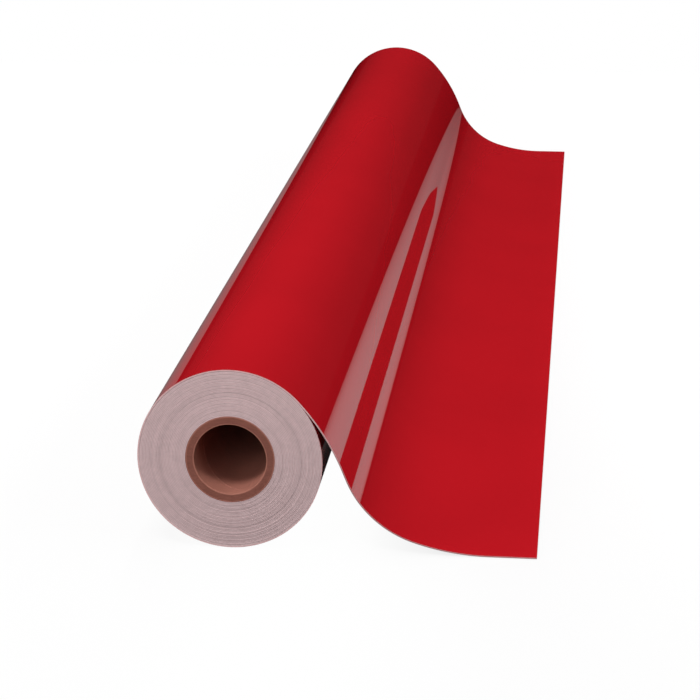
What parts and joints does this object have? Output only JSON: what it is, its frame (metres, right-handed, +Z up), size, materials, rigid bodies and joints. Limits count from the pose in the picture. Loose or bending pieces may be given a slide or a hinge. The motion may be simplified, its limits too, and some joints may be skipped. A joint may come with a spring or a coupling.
{
  "type": "roll of sign vinyl",
  "caption": "Roll of glossy red sign vinyl wound film side out on a paper core, its free end running off the top and sweeping down to lie flat on the floor.",
  "frame": {"origin": "on the axis of the core's bore, at the middle of its length", "axes": "+Y along the core's axis, +Z up, +X towards the tail that lies on the floor"},
  "size_m": [0.2784, 1.372, 0.13],
  "materials": {
    "core_paper": "matte",
    "core_board": "matte",
    "tape": "satin",
    "wound_edges": "satin",
    "liner": "satin",
    "adhesive": "satin",
    "film": "gloss"
  },
  "bodies": {
    "web": {"web_liner": "liner", "web_adhesive": "adhesive", "web_film": "film"},
    "roll": {"core_inner_ply": "core_paper", "core_body": "core_board", "core_outer_ply": "core_paper", "start_tape": "tape", "wound_pack": "wound_edges"},
    "tail": {"tail_liner": "liner", "tail_adhesive": "adhesive", "tail_film": "film"},
    "film_flap": {"flap_adhesive": "adhesive", "flap_film": "film"}
  },
  "joints": [
    {"name": "roll_spin", "type": "hinge", "parent": "web", "child": "roll", "pos_m": [0, 0, 0], "axis": [0, 1, 0], "continuous": true},
    {"name": "tail_lift", "type": "hinge", "parent": "web", "child": "tail", "pos_m": [0.12813, 0, -0.05573], "axis": [0, -1, 0], "range_deg": [0, 70]},
    {"name": "film_peel", "type": "hinge", "parent": "tail", "child": "film_flap", "pos_m": [0.18036, 0, -0.064], "axis": [0, -1, 0], "range_deg": [0, 150]}
  ]
}
